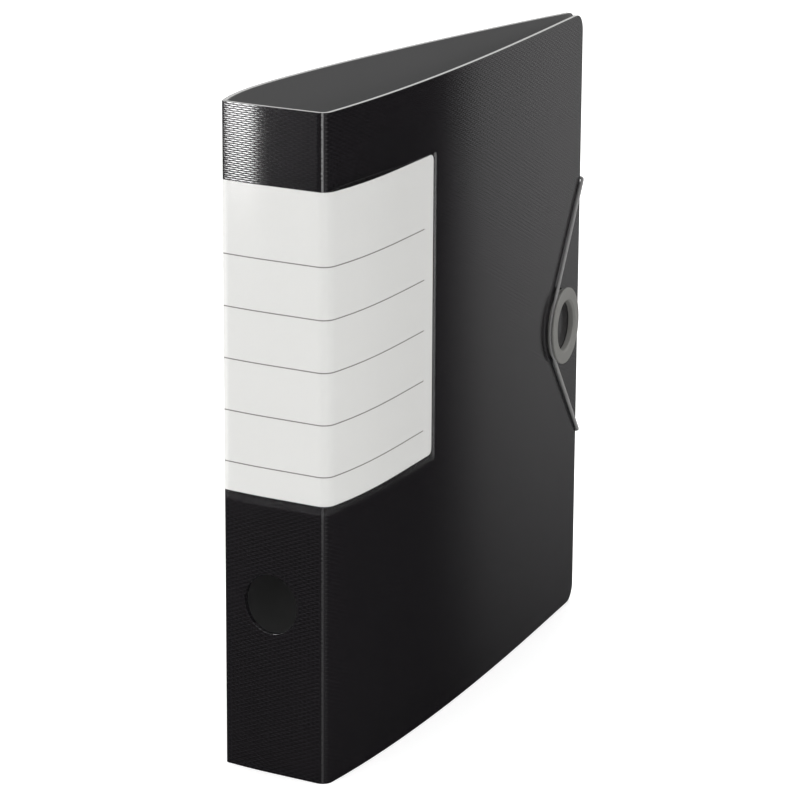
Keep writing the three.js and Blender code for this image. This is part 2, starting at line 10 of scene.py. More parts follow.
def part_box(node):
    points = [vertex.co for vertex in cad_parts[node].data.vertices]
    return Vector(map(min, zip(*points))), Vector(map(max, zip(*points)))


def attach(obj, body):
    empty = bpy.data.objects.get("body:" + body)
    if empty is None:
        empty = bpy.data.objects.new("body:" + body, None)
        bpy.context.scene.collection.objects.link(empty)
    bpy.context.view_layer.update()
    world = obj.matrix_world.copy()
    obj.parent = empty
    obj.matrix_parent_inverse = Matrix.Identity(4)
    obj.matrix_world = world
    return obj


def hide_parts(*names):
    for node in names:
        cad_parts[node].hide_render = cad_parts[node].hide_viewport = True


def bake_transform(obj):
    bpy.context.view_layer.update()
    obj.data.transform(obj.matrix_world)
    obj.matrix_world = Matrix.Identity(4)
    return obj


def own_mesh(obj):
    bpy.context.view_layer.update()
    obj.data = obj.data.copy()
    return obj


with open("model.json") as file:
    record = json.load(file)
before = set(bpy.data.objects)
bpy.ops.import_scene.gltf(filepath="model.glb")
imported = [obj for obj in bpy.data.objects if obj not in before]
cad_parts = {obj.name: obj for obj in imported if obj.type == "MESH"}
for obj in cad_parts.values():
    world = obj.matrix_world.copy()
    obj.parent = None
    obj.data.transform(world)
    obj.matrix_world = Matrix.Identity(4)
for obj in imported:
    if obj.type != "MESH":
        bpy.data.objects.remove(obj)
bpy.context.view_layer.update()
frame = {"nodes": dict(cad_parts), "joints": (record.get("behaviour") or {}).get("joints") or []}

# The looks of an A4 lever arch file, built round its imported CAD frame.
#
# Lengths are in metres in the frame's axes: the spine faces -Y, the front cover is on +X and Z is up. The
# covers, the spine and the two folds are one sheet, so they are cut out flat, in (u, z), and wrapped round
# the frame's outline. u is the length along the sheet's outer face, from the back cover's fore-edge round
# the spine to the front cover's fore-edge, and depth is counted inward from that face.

SCENE = bpy.context.scene
MM = 0.001


# ---------------------------------------------------------------- places read from the frame

def low(node):
    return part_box(node)[0]


def high(node):
    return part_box(node)[1]


def middle(node):
    return (low(node) + high(node)) / 2


def joint_place(name):
    return next(Vector(joint["pos_m"]) for joint in frame["joints"] if joint["name"] == name)


SHEET_NODES = ("back_cover", "back_fold", "spine_panel", "front_fold", "front_cover")
HEIGHT = high("spine_panel").z
SHEET = high("spine_panel").y - low("spine_panel").y


def outer_face():
    """The sheet's outer face in plan: the convex hull of its nodes, from one fore-edge round to the other."""
    spots = sorted({(round(v.co.x, 6), round(v.co.y, 6))
                    for node in SHEET_NODES for v in frame["nodes"][node].data.vertices})
    hull = [Vector(spots[i]) for i in geometry.convex_hull_2d([Vector(spot) for spot in spots])]
    gap = (low("front_cover").x + high("back_cover").x) / 2

    def turn(point):
        return (math.atan2(point.y, point.x - gap) - math.pi / 2) % (2 * math.pi)

    return without_straight_points(sorted(hull, key=turn))


def without_straight_points(points, slack=2e-6):
    kept = [points[0]]
    for here, after in zip(points[1:], points[2:]):
        chord = (after - kept[-1]).normalized()
        if abs(chord.cross(here - kept[-1])) > slack:
            kept.append(here)
    return kept + [points[-1]]


class Outline:
    """A line in plan, measured by u from its start, with the normal on its right-hand side."""

    def __init__(self, points):
        self.points = points
        self.u = [0.0]
        for a, b in zip(points, points[1:]):
            self.u.append(self.u[-1] + (b - a).length)
        runs = [(b - a).normalized() for a, b in zip(points, points[1:])]
        ways = [(a + b).normalized() for a, b in zip(runs[:1] + runs, runs + runs[-1:])]
        self.normals = [Vector((way.y, -way.x)) for way in ways]
        self.length = self.u[-1]

    def at(self, u):
        i = min(max(bisect_right(self.u, u) - 1, 0), len(self.points) - 2)
        share = (u - self.u[i]) / (self.u[i + 1] - self.u[i])
        point = self.points[i].lerp(self.points[i + 1], share)
        normal = self.normals[i].lerp(self.normals[i + 1], min(max(share, 0), 1)).normalized()
        return point, normal

    def nearest(self, x, y):
        """The u of the line's nearest place to a point."""
        spot = Vector((x, y))
        best = None
        for i, (a, b) in enumerate(zip(self.points, self.points[1:])):
            along = b - a
            share = min(max((spot - a).dot(along) / along.length_squared, 0), 1)
            away = (a + share * along - spot).length
            if best is None or away < best[0]:
                best = (away, self.u[i] + share * along.length)
        return best[1]


OUTLINE = Outline(outer_face())
BACK_FOLD_START = OUTLINE.nearest(low("back_fold").x, high("back_fold").y)
SPINE_START = OUTLINE.nearest(high("back_fold").x, low("back_fold").y)
SPINE_END = OUTLINE.nearest(low("front_fold").x, low("front_fold").y)
FRONT_FOLD_END = OUTLINE.nearest(high("front_fold").x, high("front_fold").y)
CREASE = SPINE_END + (FRONT_FOLD_END - SPINE_END) / 3

# The spine is crowned beside the back fold: its outer face turns away a little over part of its width.
CROWN_WIDTH = 26 * MM
CROWN_SLOPE = 0.10
CROWN_FADE = 45 * MM


def smooth(share):
    share = min(max(share, 0.0), 1.0)
    return share * share * (3 - 2 * share)


def crown(u):
    if u >= SPINE_START:
        reach = max(SPINE_START + CROWN_WIDTH - u, 0)
        return CROWN_SLOPE * reach * reach / (2 * CROWN_WIDTH)
    return CROWN_SLOPE * CROWN_WIDTH / 2 * (1 - smooth((SPINE_START - u) / CROWN_FADE))


def wrapped(u, depth, z):
    """Where a point of the flat sheet lies once the sheet is folded."""
    point, normal = OUTLINE.at(u)
    place = point - normal * (depth + crown(u))
    return Vector((place.x, place.y, z))


def outward(u):
    normal = OUTLINE.at(u)[1]
    return Vector((normal.x, normal.y, 0))


# ---------------------------------------------------------------- mesh making

def show(name, bm, material):
    """A new object from a bmesh, smooth shaded, with normals that follow its large faces."""
    mesh = bpy.data.meshes.new(name)
    bm.to_mesh(mesh)
    bm.free()
    mesh.materials.append(material)
    mesh.shade_smooth()
    piece = bpy.data.objects.new(name, mesh)
    SCENE.collection.objects.link(piece)
    piece.modifiers.new("normals", "WEIGHTED_NORMAL").keep_sharp = True
    return piece


def loop_of(bm, spots):
    verts = [bm.verts.new((u, 0, z)) for u, z in spots]
    for a, b in zip(verts, verts[1:] + verts[:1]):
        bm.edges.new((a, b))


def die_cut(outline, holes, thickness, rim, lines_u=(), lines_z=()):
    """A flat sheet with rounded rims, as a bmesh in (u, depth, z), split along lines where it may bend."""
    bm = bmesh.new()
    for spots in (outline, *holes):
        loop_of(bm, spots)
    bmesh.ops.triangle_fill(bm, use_beauty=True, edges=bm.edges[:])
    bmesh.ops.dissolve_limit(bm, angle_limit=0.01, verts=bm.verts[:], edges=bm.edges[:])
    grown = bmesh.ops.extrude_face_region(bm, geom=bm.faces[:])["geom"]
    inner = [item for item in grown if isinstance(item, bmesh.types.BMVert)]
    bmesh.ops.translate(bm, vec=(0, thickness, 0), verts=inner)
    bmesh.ops.recalc_face_normals(bm, faces=bm.faces[:])
    rims = [e for e in bm.edges if e.is_manifold and e.calc_face_angle() > math.radians(60)]
    bmesh.ops.bevel(bm, geom=rims, offset=rim, offset_type="OFFSET", segments=2, profile=0.5,
                    affect="EDGES", clamp_overlap=True)
    for place, way in [((u, 0, 0), (1, 0, 0)) for u in lines_u] + [((0, 0, z), (0, 0, 1)) for z in lines_z]:
        geom = bm.verts[:] + bm.edges[:] + bm.faces[:]
        bmesh.ops.bisect_plane(bm, geom=geom, plane_co=place, plane_no=way, dist=1e-7)
    return bm


def wrap(name, bm, thickness, material, place=wrapped, solid_black=None):
    """Folds a flat sheet and keeps its flat coordinates as UVs and its depth as the attribute `through`."""
    uv = bm.loops.layers.uv.new("developed")
    through = bm.verts.layers.float.new("through")
    for vert in bm.verts:
        u, depth, z = vert.co
        hidden_core = solid_black is not None and solid_black(u, z)
        vert[through] = 0.0 if hidden_core else depth / thickness
        for loop in vert.link_loops:
            loop[uv].uv = (u, z)
    for vert in bm.verts:
        vert.co = place(*vert.co)
    return show(name, bm, material)


def bend_lines(start, end):
    return [u for u in OUTLINE.u if start + 0.1 * MM < u < end - 0.1 * MM]


def crown_lines():
    return [SPINE_START + CROWN_WIDTH * i / 8 for i in range(1, 9)]


def arc(centre, radius, start, end, steps):
    """Points of an arc in a plane, with angles in degrees."""
    angles = [math.radians(start + (end - start) * i / steps) for i in range(steps + 1)]
    return [(centre[0] + radius * math.cos(a), centre[1] + radius * math.sin(a)) for a in angles]


def softened(profile, radius, steps=3, closed=False):
    """A profile whose corners are rounded, where there is room, with the given radius."""
    points = [Vector(p) for p in profile]
    count = len(points)
    made = []
    for i, corner in enumerate(points):
        if not closed and i in (0, count - 1):
            made.append(corner)
            continue
        back = points[i - 1] - corner
        ahead = points[(i + 1) % count] - corner
        reach = min(radius, back.length * 0.45, ahead.length * 0.45)
        start = corner + back.normalized() * reach
        end = corner + ahead.normalized() * reach
        for step in range(steps + 1):
            t = step / steps
            made.append((1 - t) ** 2 * start + 2 * t * (1 - t) * corner + t * t * end)
    return made


def lathe(name, profile, centre, axis, material, closed=False, segments=64):
    """A solid of revolution from (radius, height) points. An open profile starts and ends on the axis."""
    bm = bmesh.new()
    turn = axis.to_track_quat("Z", "Y").to_matrix()
    rings = []
    for radius, height in profile:
        angles = [0.0] if radius < 1e-7 else [2 * math.pi * i / segments for i in range(segments)]
        spots = [Vector((radius * math.cos(a), radius * math.sin(a), height)) for a in angles]
        rings.append([bm.verts.new(centre + turn @ spot) for spot in spots])
    pairs = list(zip(rings, rings[1:] + rings[:1])) if closed else list(zip(rings, rings[1:]))
    for below, above in pairs:
        for i in range(segments):
            j = (i + 1) % segments
            corners = [below[i % len(below)], below[j % len(below)]]
            corners += [above[j % len(above)], above[i % len(above)]]
            bm.faces.new(list(dict.fromkeys(corners)))
    bmesh.ops.recalc_face_normals(bm, faces=bm.faces[:])
    return show(name, bm, material)


def tube(name, path, radius, material, sides=14):
    """A round rod along a path, with rounded ends and UVs in metres: along it, and round it."""
    bm = bmesh.new()
    uv = bm.loops.layers.uv.new("developed")
    ways = [(b - a).normalized() for a, b in zip(path, path[1:])]
    ways = [(a + b).normalized() for a, b in zip(ways[:1] + ways, ways + ways[-1:])]
    side = ways[0].orthogonal().normalized()
    stations = []
    travelled = 0.0
    for i, (spot, way) in enumerate(zip(path, ways)):
        side = (side - way * side.dot(way)).normalized()
        travelled += (spot - path[i - 1]).length if i else 0
        stations.append((spot, way, side.copy(), radius, travelled))
    start = [(s - w * radius * math.sin(t), w, e, radius * math.cos(t), 0.0)
             for (s, w, e, _, _), t in [(stations[0], math.radians(a)) for a in (80, 55, 30)]]
    end = [(s + w * radius * math.sin(t), w, e, radius * math.cos(t), travelled)
           for (s, w, e, _, _), t in [(stations[-1], math.radians(a)) for a in (30, 55, 80)]]
    rings = []
    for spot, way, side, width, along in start + stations + end:
        across = way.cross(side)
        rings.append(([bm.verts.new(spot + width * (math.cos(a) * side + math.sin(a) * across))
                       for a in [2 * math.pi * i / sides for i in range(sides)]], along))
    around = 2 * math.pi * radius / sides
    for (below, a), (above, b) in zip(rings, rings[1:]):
        for i in range(sides):
            j = (i + 1) % sides
            face = bm.faces.new((below[i], below[j], above[j], above[i]))
            for loop, spot in zip(face.loops, ((a, i), (a, i + 1), (b, i + 1), (b, i))):
                loop[uv].uv = (spot[0], spot[1] * around)
    for ring, _ in (rings[0], rings[-1]):
        bm.faces.new(ring)
    bmesh.ops.recalc_face_normals(bm, faces=bm.faces[:])
    return show(name, bm, material)


def rounded_path(corners, radius, steps=6):
    """A path of straight runs whose corners are rounded."""
    path = [corners[0]]
    for before, corner, after in zip(corners, corners[1:], corners[2:]):
        back = before - corner
        ahead = after - corner
        reach = min(radius, back.length / 2.1, ahead.length / 2.1)
        start = corner + back.normalized() * reach
        end = corner + ahead.normalized() * reach
        for step in range(steps + 1):
            t = step / steps
            path.append((1 - t) ** 2 * start + 2 * t * (1 - t) * corner + t * t * end)
    return path + [corners[-1]]


def fine_path(path, step):
    """The same path with more points, so that no run is longer than a step."""
    made = [path[0]]
    for a, b in zip(path, path[1:]):
        parts = max(1, math.ceil((b - a).length / step))
        made += [a.lerp(b, i / parts) for i in range(1, parts + 1)]
    return [spot for i, spot in enumerate(made) if i == 0 or (spot - made[i - 1]).length > 1e-7]


# ---------------------------------------------------------------- materials

class Shader:
    """A new node material with one Principled shader, and short calls that add nodes to it."""

    def __init__(self, name, colour, roughness, metallic=0.0, **sockets):
        self.material = bpy.data.materials.new(name)
        self.material.use_nodes = True
        self.nodes = self.material.node_tree.nodes
        self.surface = self.nodes["Principled BSDF"]
        self.set("Base Color", colour)
        self.set("Roughness", roughness)
        self.set("Metallic", metallic)
        for socket, value in sockets.items():
            self.set(socket.replace("_", " "), value)

    def join(self, socket, value):
        if isinstance(value, bpy.types.NodeSocket):
            self.material.node_tree.links.new(value, socket)
        elif isinstance(value, tuple) and len(value) == 3 and socket.type == "RGBA":
            socket.default_value = (*value, 1.0)
        else:
            socket.default_value = value

    def set(self, socket, value):
        self.join(self.surface.inputs[socket], value)

    def node(self, kind, inputs=None, **settings):
        made = self.nodes.new(kind)
        for setting, value in settings.items():
            setattr(made, setting, value)
        for socket, value in (inputs or {}).items():
            self.join(made.inputs[socket], value)
        return made

    def math(self, operation, *values):
        return self.node("ShaderNodeMath", dict(enumerate(values)), operation=operation).outputs[0]

    def mix(self, share, a, b):
        return self.node("ShaderNodeMix", {0: share, 6: a, 7: b}, data_type="RGBA").outputs[2]

    def blend(self, share, a, b):
        return self.node("ShaderNodeMix", {0: share, 2: a, 3: b}, data_type="FLOAT").outputs[0]

    def ramp(self, value, start, end, to_start=0.0, to_end=1.0):
        inputs = {0: value, 1: start, 2: end, 3: to_start, 4: to_end}
        return self.node("ShaderNodeMapRange", inputs, interpolation_type="SMOOTHSTEP").outputs[0]

    def flat_place(self):
        """u and z of a wrapped or drawn-out piece, from its UVs."""
        uv = self.node("ShaderNodeUVMap", uv_map="developed")
        split = self.node("ShaderNodeSeparateXYZ", {0: uv.outputs[0]})
        return split.outputs[0], split.outputs[1]

    def noise(self, scale, detail=2.0, stretch=(1, 1, 1), use_uv=False, roughness=0.5):
        if use_uv:
            place = self.node("ShaderNodeUVMap", uv_map="developed").outputs[0]
        else:
            place = self.node("ShaderNodeTexCoord").outputs["Object"]
        place = self.node("ShaderNodeMapping", {"Vector": place, "Scale": stretch}).outputs[0]
        inputs = {"Vector": place, "Scale": scale, "Detail": detail, "Roughness": roughness}
        return self.node("ShaderNodeTexNoise", inputs).outputs[0]

    def bump(self, height, distance, strength=1.0):
        inputs = {"Height": height, "Distance": distance, "Strength": strength}
        self.set("Normal", self.node("ShaderNodeBump", inputs).outputs[0])


# The embossing is rows of short ridges, each row half a ridge out of step with the next.
RIDGE_PITCH = 1.0 * MM
RIDGE_LENGTH = 4.7 * MM
RIDGE_HEIGHT = 0.03 * MM


def ridges(shader, u, z):
    """The embossing's height and the gloss of its dashes, which fade at their ends, both from 0 to 1. The
    dashes' mask also sets the painted shade in the valleys between them.
    """
    row = shader.math("DIVIDE", z, RIDGE_PITCH)
    odd = shader.math("MODULO", shader.math("FLOOR", row), 2.0)
    along = shader.math("MULTIPLY_ADD", u, 1 / RIDGE_LENGTH, shader.math("MULTIPLY", odd, 0.5))
    bow = shader.math("ABSOLUTE", shader.math("SINE", shader.math("MULTIPLY", along, math.pi)))
    arch = shader.math("ABSOLUTE", shader.math("SINE", shader.math("MULTIPLY", row, math.pi)))
    height = shader.math("MULTIPLY", shader.math("MULTIPLY_ADD", bow, 0.35, 0.65), arch)
    return height, shader.math("MULTIPLY", bow, arch)


# The crease is worn pale along a ragged line.
CREASE_DRIFT = 0.45 * MM
WORN_THROUGH = 0.30 * MM
WORN_OUT_TO = 0.65 * MM


def crease_wear(shader, u, z, through):
    """How worn the outer skin is at the crease, from 0 to 1. It is paler towards the top and fades towards
    the bottom.
    """
    ragged = shader.noise(1.0, 3.0, stretch=(0, 900, 0), use_uv=True)
    drift = shader.math("MULTIPLY_ADD", ragged, 2 * CREASE_DRIFT, -CREASE_DRIFT)
    away = shader.math("ABSOLUTE", shader.math("ADD", shader.math("SUBTRACT", u, CREASE), drift))
    on_crease = shader.ramp(away, WORN_THROUGH, WORN_OUT_TO, 1.0, 0.0)
    worn = shader.math("MULTIPLY", on_crease, shader.ramp(through, 0.02, 0.1, 1.0, 0.0))
    worn = shader.math("MULTIPLY", worn, shader.ramp(z, 0.1, 0.3, 0.15, 1.0))
    return shader.math("MULTIPLY", worn, shader.ramp(ragged, 0.25, 0.6, 0.35, 1.0))


def sheet_material():
    """Black embossed skin outside with painted shade in the valleys between its dashes, smooth grey skin
    inside, a pale core at the cut edges, a worn crease.
    """
    shader = Shader("black_sheet", (0.0105, 0.0098, 0.0110), 0.34)
    u, z = shader.flat_place()
    through = shader.node("ShaderNodeAttribute", attribute_name="through").outputs["Fac"]
    inside = shader.ramp(through, 0.90, 0.93)
    core = shader.math("SUBTRACT", shader.ramp(through, 0.12, 0.20), shader.ramp(through, 0.80, 0.88))
    cloud = shader.noise(9.0, 3.0, use_uv=True)
    flutes = shader.noise(900.0, 1.0, stretch=(1, 0.02, 1), use_uv=True)
    worn = crease_wear(shader, u, z, through)
    embossing, dash_gloss_and_valley_shade = ridges(shader, u, z)
    skin = shader.mix(cloud, (0.0170, 0.0158, 0.0175), (0.0205, 0.0191, 0.0214))
    # Painted shade: the skin is painted darker in the valleys between the embossed dashes, where the ridges
    # would shade them.
    skin = shader.mix(dash_gloss_and_valley_shade, (0.0055, 0.0050, 0.0056), skin)
    skin = shader.mix(worn, skin, (0.20, 0.20, 0.20))
    inner_skin = shader.mix(cloud, (0.155, 0.155, 0.156), (0.175, 0.175, 0.176))
    cut = shader.mix(flutes, (0.31, 0.31, 0.305), (0.44, 0.44, 0.43))
    shader.set("Base Color", shader.mix(core, shader.mix(inside, skin, inner_skin), cut))
    gloss = shader.math("MULTIPLY_ADD", cloud, 0.03, 0.10)
    gloss = shader.blend(inside, shader.blend(worn, gloss, 0.6), 0.5)
    shader.set("Roughness", shader.blend(core, gloss, 0.65))
    sheen = shader.math("MULTIPLY_ADD", dash_gloss_and_valley_shade, 0.65, 0.24)
    shader.set("Specular IOR Level", shader.blend(inside, sheen, 0.5))
    relief = shader.blend(through, embossing, 0.5)
    grain = shader.math("MULTIPLY", shader.noise(2600.0, 2.0, use_uv=True), 0.12)
    shader.bump(shader.math("ADD", relief, grain), RIDGE_HEIGHT)
    return shader.material


RULED_LINES = 5
RULED_PITCH = 24.6 * MM
RULED_FIRST = 34.2 * MM
RULED_WIDTH = 0.55 * MM
RULED_MARGIN = 0.5 * MM
RULED_SIDE = 9.6 * MM


def label_material(start, end, top):
    """Matt white card with thin ruled lines, seen under a clear film."""
    shader = Shader("label_paper", (0.78, 0.78, 0.76), 0.7, Coat_Weight=0.35, Coat_Roughness=0.16)
    u, z = shader.flat_place()
    below = shader.math("SUBTRACT", top - RULED_FIRST + RULED_PITCH / 2, z)
    step = shader.math("MODULO", shader.math("MAXIMUM", below, 0.0), RULED_PITCH)
    away = shader.math("ABSOLUTE", shader.math("SUBTRACT", step, RULED_PITCH / 2))
    ink = shader.ramp(away, RULED_WIDTH * 0.35, RULED_WIDTH * 0.65, 1.0, 0.0)
    limits = [
        shader.math("LESS_THAN", below, RULED_PITCH * RULED_LINES),
        shader.math("GREATER_THAN", below, 0.0),
        shader.math("GREATER_THAN", u, start + RULED_MARGIN),
        shader.math("LESS_THAN", u, end - RULED_SIDE),
    ]
    for limit in limits:
        ink = shader.math("MULTIPLY", ink, limit)
    fibre = shader.noise(700.0, 4.0, use_uv=True)
    paper = shader.mix(fibre, (0.765, 0.762, 0.742), (0.795, 0.795, 0.78))
    shader.set("Base Color", shader.mix(shader.math("MULTIPLY", ink, 0.9), paper, (0.14, 0.13, 0.12)))
    shader.bump(shader.math("ADD", fibre, shader.noise(40.0, 1.0, use_uv=True)), 0.006 * MM)
    return shader.material


FILM_MILKINESS = 0.01


def film_material():
    """Clear, slightly milky film: what is behind it shows through, and its gloss grows at a slant."""
    shader = Shader("clear_film", (0.5, 0.5, 0.5), 0.08)
    ripple = shader.noise(30.0, 2.0, use_uv=True)
    relief = shader.node("ShaderNodeBump", {"Height": ripple, "Distance": 0.05 * MM}).outputs[0]
    haze = shader.noise(160.0, 3.0, use_uv=True)
    gloss = shader.node("ShaderNodeBsdfGlossy", {
        "Color": (1.0, 1.0, 1.0), "Normal": relief,
        "Roughness": shader.math("MULTIPLY_ADD", haze, 0.06, 0.07)})
    slant = shader.node("ShaderNodeFresnel", {"IOR": 1.45, "Normal": relief}).outputs[0]
    inner_side = shader.node("ShaderNodeNewGeometry").outputs["Backfacing"]
    mirror = shader.math("MULTIPLY", slant, shader.math("SUBTRACT", 1.0, inner_side))
    clear = shader.node("ShaderNodeBsdfTransparent", {"Color": (0.98, 0.98, 0.98)})
    glossy = shader.node("ShaderNodeMixShader", {0: mirror, 1: clear.outputs[0], 2: gloss.outputs[0]})
    milk = shader.node("ShaderNodeBsdfDiffuse", {"Color": (0.8, 0.8, 0.8)})
    film = shader.node("ShaderNodeMixShader", {0: FILM_MILKINESS, 1: glossy.outputs[0], 2: milk.outputs[0]})
    shader.join(shader.nodes["Material Output"].inputs["Surface"], film.outputs[0])
    shader.nodes.remove(shader.surface)
    return shader.material


def moulded_plastic(name, dark, light, roughness, grain=0.03 * MM):
    """Moulded plastic with a fine spark-eroded grain."""
    shader = Shader(name, light, roughness)
    cloud = shader.noise(60.0, 3.0)
    shader.set("Base Color", shader.mix(cloud, dark, light))
    shader.set("Roughness", shader.math("MULTIPLY_ADD", cloud, 0.14, roughness - 0.07))
    shader.bump(shader.noise(2400.0, 2.0), grain)
    return shader.material


def steel(name, colour, roughness, metallic, brushed=(1, 1, 1), depth=0.01 * MM):
    """Plated steel with fine scratches, drawn out along one axis where it is brushed.

    Below 1, the metallic share lets the plating scatter light as well, so it isn't black in a dark room.
    """
    shader = Shader(name, colour, roughness, metallic)
    scratches = shader.noise(900.0, 4.0, stretch=brushed)
    cloud = shader.noise(45.0, 3.0)
    shade = tuple(0.82 * value for value in colour)
    shader.set("Base Color", shader.mix(cloud, shade, colour))
    spread = shader.math("ADD", scratches, cloud)
    shader.set("Roughness", shader.math("MULTIPLY_ADD", spread, 0.12, roughness - 0.1))
    shader.bump(scratches, depth)
    return shader.material


BRAID_PITCH = 1.5 * MM


def elastic_material(radius):
    """A braided cover: threads cross in two directions round the cord."""
    shader = Shader("grey_elastic", (0.3, 0.295, 0.295), 0.95, Specular_IOR_Level=0.1)
    along, around = shader.flat_place()
    lead = shader.math("DIVIDE", along, BRAID_PITCH)
    turn = shader.math("MULTIPLY", around, 4 / (math.pi * radius))
    threads = []
    for sign in (1.0, -1.0):
        phase = shader.math("MULTIPLY_ADD", turn, sign, shader.math("MULTIPLY", lead, 2.0))
        threads.append(shader.math("ABSOLUTE", shader.math("SINE", shader.math("MULTIPLY", phase, math.pi))))
    weave = shader.math("MULTIPLY", *threads)
    fuzz = shader.noise(3000.0, 2.0, use_uv=True)
    yarn = shader.mix(weave, (0.19, 0.187, 0.187), (0.35, 0.346, 0.346))
    shader.set("Base Color", shader.mix(shader.math("MULTIPLY", fuzz, 0.35), yarn, (0.23, 0.23, 0.23)))
    shader.bump(weave, 0.12 * MM)
    return shader.material


def floor_material():
    """A white floor that glows a little."""
    shader = Shader("studio_floor", (0.93, 0.93, 0.93), 0.75,
                    Emission_Color=(1.0, 1.0, 1.0), Emission_Strength=0.3)
    cloud = shader.noise(1.5, 2.0)
    shader.set("Base Color", shader.mix(cloud, (0.925, 0.925, 0.925), (0.94, 0.94, 0.94)))
    return shader.material


BLACK_SHEET = sheet_material()
GREY_PLASTIC = moulded_plastic("grey_plastic", (0.170, 0.168, 0.158), (0.200, 0.198, 0.187), 0.45)
BLACK_PLASTIC = moulded_plastic("black_plastic", (0.011, 0.011, 0.012), (0.017, 0.017, 0.018), 0.38)
ZINC_STEEL = steel("zinc_steel", (0.56, 0.57, 0.58), 0.34, 0.55, brushed=(1, 1, 0.05), depth=0.02 * MM)
NICKEL_STEEL = steel("nickel_steel", (0.70, 0.69, 0.67), 0.2, 0.75)


# ---------------------------------------------------------------- the folded sheet

SHEET_RIM = 0.15 * MM
FRONT_CORNER = 9 * MM
BACK_CORNER = 3 * MM
HOLE_STEPS = 64


def finger_hole():
    """The hole's centre on the spine and its radius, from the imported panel."""
    panel = [v.co for v in frame["nodes"]["spine_panel"].data.vertices]
    edge = [Vector((p.x, p.z)) for p in panel if low("spine_panel").x + MM < p.x < high("spine_panel").x - MM]
    centre = Vector(((min(p.x for p in edge) + max(p.x for p in edge)) / 2,
                     (min(p.y for p in edge) + max(p.y for p in edge)) / 2))
    return centre, (edge[0] - centre).length


def spine_and_front_cover():
    """One piece from the back fold's end to the front cover's fore-edge, which bends at the front fold."""
    start, end = SPINE_START, OUTLINE.length
    radius = FRONT_CORNER
    outline = [(start, 0.0)]
    outline += arc((end - radius, radius), radius, -90, 0, 10)
    outline += arc((end - radius, HEIGHT - radius), radius, 0, 90, 10)
    outline += [(start, HEIGHT)]
    centre, size = finger_hole()
    hole_u = OUTLINE.nearest(centre.x, low("spine_panel").y)
    hole = arc((hole_u, centre.y), size, 0, 360 - 360 / HOLE_STEPS, HOLE_STEPS - 1)
    lines = bend_lines(start, end) + crown_lines() + [CREASE - 0.4 * MM, CREASE + 0.4 * MM]
    flat = die_cut(outline, [hole], SHEET, SHEET_RIM, lines)

    def at_hole(u, z):
        return math.hypot(u - hole_u, z - centre.y) < size + 0.5 * SHEET_RIM

    piece = wrap("spine_and_front_cover", flat, SHEET, BLACK_SHEET, solid_black=at_hole)
    wrapped(SPINE_END, 0, 0)
    wrapped(FRONT_FOLD_END, 0, 0)
    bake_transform(piece)
    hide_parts("spine_panel", "front_fold", "front_cover")


def back_cover():
    """The back cover and its fold, up to the spine."""
    end = SPINE_START
    radius = BACK_CORNER
    outline = arc((radius, HEIGHT - radius), radius, 90, 180, 10)
    outline += arc((radius, radius), radius, 180, 270, 10)
    outline += [(end, 0.0), (end, HEIGHT)]
    fade_lines = [end - CROWN_FADE * i / 8 for i in range(2, 9)]
    flat = die_cut(outline, [], SHEET, SHEET_RIM, bend_lines(0, end) + fade_lines)
    piece = wrap("back_cover_sheet", flat, SHEET, BLACK_SHEET)
    wrapped(BACK_FOLD_START, 0, 0)
    wrapped(SPINE_START, 0, 0)
    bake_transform(piece)
    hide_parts("back_cover", "back_fold")


# ---------------------------------------------------------------- label and its clear pocket

CARD_LIFT = 0.12 * MM
CARD_THICKNESS = 0.3 * MM
CARD_CORNER = 3.0 * MM
CARD_BULGE = 1.8 * MM
FILM_LIFT = 0.5 * MM
FILM_THICKNESS = 0.16 * MM
FILM_WELD = 0.9 * MM
FILM_SLOPE = 3.2 * MM


def layer_place(node):
    """Where a layer that lies on the spine and the front cover starts and ends."""
    start = OUTLINE.nearest(low(node).x, low("spine_panel").y)
    end_depth = high(node).y
    end = min((abs(OUTLINE.at(u)[0].y - end_depth), u)
              for u in (FRONT_FOLD_END + i * 0.1 * MM for i in range(1500)))[1]
    return start, end, low(node).z, high(node).z


def layer_outline(start, end, bottom, top, corner):
    outline = [(start, bottom)]
    outline += arc((end - corner, bottom + corner), corner, -90, 0, 6)
    outline += arc((end - corner, top - corner), corner, 0, 90, 6)
    return outline + [(start, top)]


def card_bulge(u, end):
    """How far the stiff card stands off the front cover past the fold, most of all a third of the way on."""
    t = min(max((u - SPINE_END) / (end - SPINE_END), 0.0), 1.0)
    return CARD_BULGE * 6.75 * t * (1 - t) ** 2


def layer_lines(start, end):
    along_cover = [SPINE_END + (end - SPINE_END) * i / 24 for i in range(1, 24)]
    return bend_lines(start, end) + crown_lines() + along_cover


def bend_layer(piece):
    wrapped(SPINE_END, 0, 0)
    wrapped(FRONT_FOLD_END, 0, 0)
    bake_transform(piece)


def label_card():
    start, end, bottom, top = layer_place("label_card")

    def on_sheet(u, depth, z):
        return wrapped(u, depth - CARD_LIFT - CARD_THICKNESS - card_bulge(u, end), z)

    outline = layer_outline(start, end, bottom, top, CARD_CORNER)
    flat = die_cut(outline, [], CARD_THICKNESS, 0.06 * MM, layer_lines(start, end))
    piece = wrap("label_card_ruled", flat, CARD_THICKNESS, label_material(start, end, top), on_sheet)
    bend_layer(piece)
    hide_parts("label_card")


